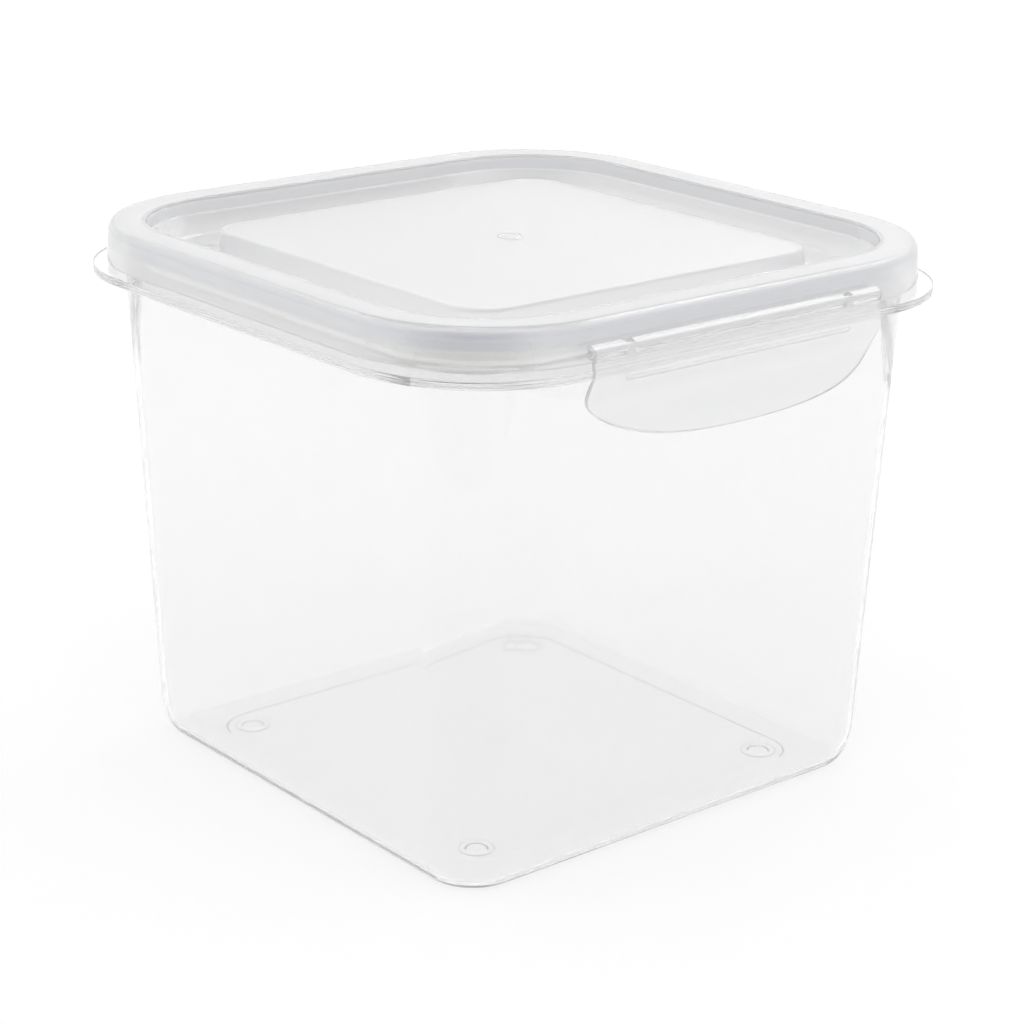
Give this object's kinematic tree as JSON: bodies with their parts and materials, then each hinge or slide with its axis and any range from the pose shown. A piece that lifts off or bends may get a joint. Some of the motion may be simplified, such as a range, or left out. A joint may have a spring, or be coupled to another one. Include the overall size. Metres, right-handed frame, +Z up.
{
  "type": "freezer container",
  "caption": "Square clear plastic freezer container with a tapered tub, a recessed lid with a seal, and hinged side latches that hook under the tub's flange.",
  "frame": {"origin": "on the standing plane, under the middle of the tub", "axes": "+Z up through the lid, +Y towards the rear latch, so that the front latch is on -Y, +X to the right seen from the front"},
  "size_m": [0.1934, 0.201, 0.1594],
  "materials": {
    "clear_polypropylene": "glossy, see-through",
    "lid_polypropylene": "glossy, milky see-through",
    "silicone": "matt",
    "latch_polypropylene": "satin, milky"
  },
  "bodies": {
    "tub": {"tub": "clear_polypropylene"},
    "lid": {"lid": "lid_polypropylene", "lid_seal": "silicone"},
    "latch_front": {"latch_front": "latch_polypropylene"},
    "latch_rear": {"latch_rear": "latch_polypropylene"}
  },
  "joints": [
    {"name": "lid_lift", "type": "slide", "parent": "tub", "child": "lid", "axis": [0, 0, 1], "range_m": [0, 0.15]},
    {"name": "latch_front_swing", "type": "hinge", "parent": "lid", "child": "latch_front", "pos_m": [-0.003, -0.097, 0.152], "axis": [-1, 0, 0], "range_deg": [-6, 100]},
    {"name": "latch_rear_swing", "type": "hinge", "parent": "lid", "child": "latch_rear", "pos_m": [0.003, 0.097, 0.152], "axis": [1, 0, 0], "range_deg": [-6, 100]}
  ]
}
